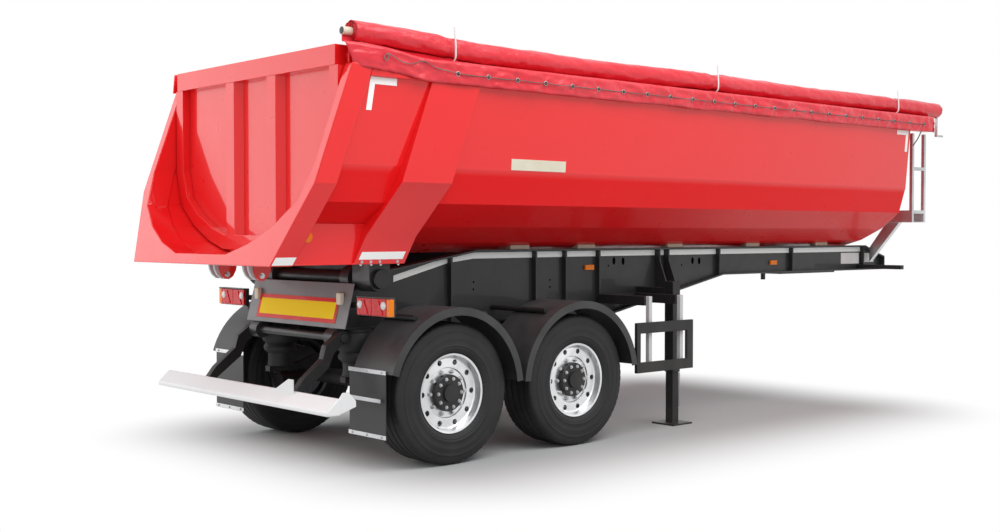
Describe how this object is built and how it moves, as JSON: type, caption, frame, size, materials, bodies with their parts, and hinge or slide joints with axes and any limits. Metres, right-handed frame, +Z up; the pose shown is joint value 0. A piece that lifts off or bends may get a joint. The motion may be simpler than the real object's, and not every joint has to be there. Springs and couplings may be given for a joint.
{
  "type": "tipper semi-trailer",
  "caption": "Tipper semi-trailer with a half-round steel body that tips on a rear hinge, hinged tailgate, front telescopic hoist, rolling wheels and folding underrun guard.",
  "frame": {"origin": "on the ground under the middle of the whole trailer", "axes": "+X forward towards the king pin, +Y to the trailer's left, +Z up"},
  "size_m": [8.58, 2.55, 3.16],
  "materials": {
    "red_paint": "gloss enamel",
    "chassis_paint": "satin enamel",
    "valance_grey": "gloss enamel",
    "white_paint": "satin enamel",
    "polished_aluminium": "polished",
    "galvanised": "dull metal",
    "dark_steel": "worn steel",
    "hoist_chrome": "hard chrome",
    "tyre_rubber": "matt rubber",
    "pad_rubber": "matt rubber",
    "guard_plastic": "moulded plastic",
    "lamp_red": "clear red lens",
    "lamp_amber": "clear amber lens",
    "hazard_yellow": "reflective sheet",
    "tarp_fabric": "coated fabric"
  },
  "bodies": {
    "chassis": {"beam_left": "chassis_paint", "beam_right": "chassis_paint", "cross_members": "chassis_paint", "hinge_shaft": "chassis_paint", "rest_pads": "pad_rubber", "coupling_plate": "chassis_paint", "hoist_cradle": "chassis_paint", "rear_valance": "valance_grey", "hazard_board": "hazard_yellow", "tail_lamps": "lamp_red", "marker_lamps": "lamp_amber", "carriers": "chassis_paint", "axles": "chassis_paint", "trailing_arms": "chassis_paint", "air_springs": "pad_rubber", "mudguards": "guard_plastic", "mud_flaps": "pad_rubber", "landing_legs": "chassis_paint", "landing_feet": "chassis_paint", "side_guards": "chassis_paint", "guard_posts": "galvanised", "platform": "galvanised"},
    "tipper_body": {"floor_pan": "red_paint", "side_wall_left": "red_paint", "side_wall_right": "red_paint", "front_wall": "red_paint", "rear_frame": "red_paint", "wide_ribs": "red_paint", "hinge_bearings": "chassis_paint", "latch_hooks": "dark_steel", "top_rails": "red_paint", "tarp": "tarp_fabric", "crank": "galvanised"},
    "tailgate": {"gate_skin": "red_paint", "gate_frame": "red_paint"},
    "underrun": {"underrun_bar": "white_paint", "underrun_arms": "chassis_paint"},
    "wheel_rear_left": {"rim_rear_left": "polished_aluminium", "tyre_rear_left": "tyre_rubber"},
    "wheel_rear_right": {"rim_rear_right": "polished_aluminium", "tyre_rear_right": "tyre_rubber"},
    "wheel_front_left": {"rim_front_left": "polished_aluminium", "tyre_front_left": "tyre_rubber"},
    "wheel_front_right": {"rim_front_right": "polished_aluminium", "tyre_front_right": "tyre_rubber"},
    "hoist_barrel": {"hoist_barrel": "chassis_paint"},
    "hoist_stage_1": {"hoist_stage_1": "hoist_chrome"},
    "hoist_stage_2": {"hoist_stage_2": "hoist_chrome"},
    "hoist_stage_3": {"hoist_stage_3": "hoist_chrome"},
    "hoist_stage_4": {"hoist_stage_4": "hoist_chrome"},
    "hoist_stage_5": {"hoist_stage_5": "hoist_chrome"}
  },
  "joints": [
    {"name": "wheel_rear_left_spin", "type": "hinge", "parent": "chassis", "child": "wheel_rear_left", "pos_m": [-2.83, 1.0275, 0.533], "axis": [0, 1, 0], "continuous": true},
    {"name": "wheel_rear_right_spin", "type": "hinge", "parent": "chassis", "child": "wheel_rear_right", "pos_m": [-2.83, -1.0275, 0.533], "axis": [0, 1, 0], "continuous": true},
    {"name": "wheel_front_left_spin", "type": "hinge", "parent": "chassis", "child": "wheel_front_left", "pos_m": [-1.52, 1.0275, 0.533], "axis": [0, 1, 0], "continuous": true},
    {"name": "wheel_front_right_spin", "type": "hinge", "parent": "chassis", "child": "wheel_front_right", "pos_m": [-1.52, -1.0275, 0.533], "axis": [0, 1, 0], "continuous": true},
    {"name": "body_tip", "type": "hinge", "parent": "chassis", "child": "tipper_body", "pos_m": [-3.25, 0, 1.385], "axis": [0, -1, 0], "range_deg": [0, 47]},
    {"name": "tailgate_swing", "type": "hinge", "parent": "tipper_body", "child": "tailgate", "pos_m": [-3.72, 0, 2.96], "axis": [0, 1, 0], "range_deg": [0, 80]},
    {"name": "underrun_fold", "type": "hinge", "parent": "chassis", "child": "underrun", "pos_m": [-3.435, 0, 0.946], "axis": [0, -1, 0], "range_deg": [-50, 0]},
    {"name": "hoist_tilt", "type": "hinge", "parent": "chassis", "child": "hoist_barrel", "pos_m": [3.95, 0, 1.38], "axis": [0, -1, 0], "range_deg": [0, 30]},
    {"name": "hoist_extend_1", "type": "slide", "parent": "hoist_barrel", "child": "hoist_stage_1", "axis": [0.0146, 0, 0.9999], "range_m": [0, 1.15]},
    {"name": "hoist_extend_2", "type": "slide", "parent": "hoist_stage_1", "child": "hoist_stage_2", "axis": [0.0146, 0, 0.9999], "range_m": [0, 1.15]},
    {"name": "hoist_extend_3", "type": "slide", "parent": "hoist_stage_2", "child": "hoist_stage_3", "axis": [0.0146, 0, 0.9999], "range_m": [0, 1.15]},
    {"name": "hoist_extend_4", "type": "slide", "parent": "hoist_stage_3", "child": "hoist_stage_4", "axis": [0.0146, 0, 0.9999], "range_m": [0, 1.15]},
    {"name": "hoist_extend_5", "type": "slide", "parent": "hoist_stage_4", "child": "hoist_stage_5", "axis": [0.0146, 0, 0.9999], "range_m": [0, 1.15]}
  ],
  "couplings": [
    {"joint": "hoist_tilt", "follows": "body_tip", "ratio": 0.605},
    {"joint": "hoist_extend_1", "follows": "body_tip", "m_per_rad": 1.396},
    {"joint": "hoist_extend_2", "follows": "body_tip", "m_per_rad": 1.396},
    {"joint": "hoist_extend_3", "follows": "body_tip", "m_per_rad": 1.396},
    {"joint": "hoist_extend_4", "follows": "body_tip", "m_per_rad": 1.396},
    {"joint": "hoist_extend_5", "follows": "body_tip", "m_per_rad": 1.396}
  ]
}
